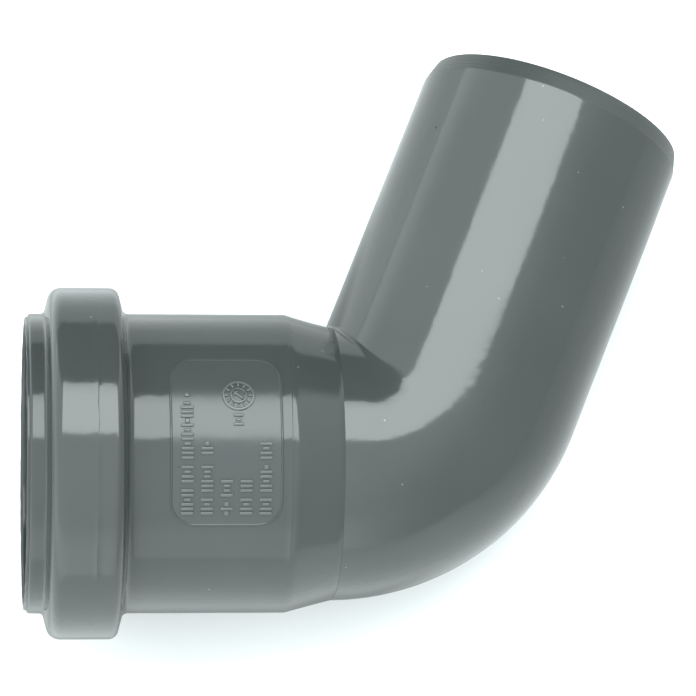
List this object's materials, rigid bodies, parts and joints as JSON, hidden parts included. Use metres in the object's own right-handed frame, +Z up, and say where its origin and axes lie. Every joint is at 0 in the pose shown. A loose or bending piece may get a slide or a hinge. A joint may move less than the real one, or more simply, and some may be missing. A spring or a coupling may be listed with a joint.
{
  "type": "waste pipe bend",
  "caption": "Push-fit bend for indoor waste pipe: a beaded socket with a lip seal, a smooth turn of under a right angle, and a plain spigot with a chamfered end.",
  "frame": {"origin": "centre of the box's footprint, on the surface that the bend lies on", "axes": "+Z up; +X is the level direction of the socket's axis, from its mouth into the bend; +Y is level, towards the side that the spigot turns to. The bend lies on its side as it would on a table, touching it with the bead's inner edge, the back of the bend and the spigot's end, so the socket's axis slopes down by 6.9 degrees from mouth to bend and the spigot's axis is level within 0.3 degrees"},
  "size_m": [0.1244, 0.1082, 0.0643],
  "materials": {
    "grey_plastic": "semi-gloss moulded polypropylene, mid grey with a slight green-blue tint",
    "black_rubber": "matt moulded elastomer, black"
  },
  "bodies": {
    "root": {"elbow_body": "grey_plastic", "lip_seal": "black_rubber"}
  },
  "joints": []
}
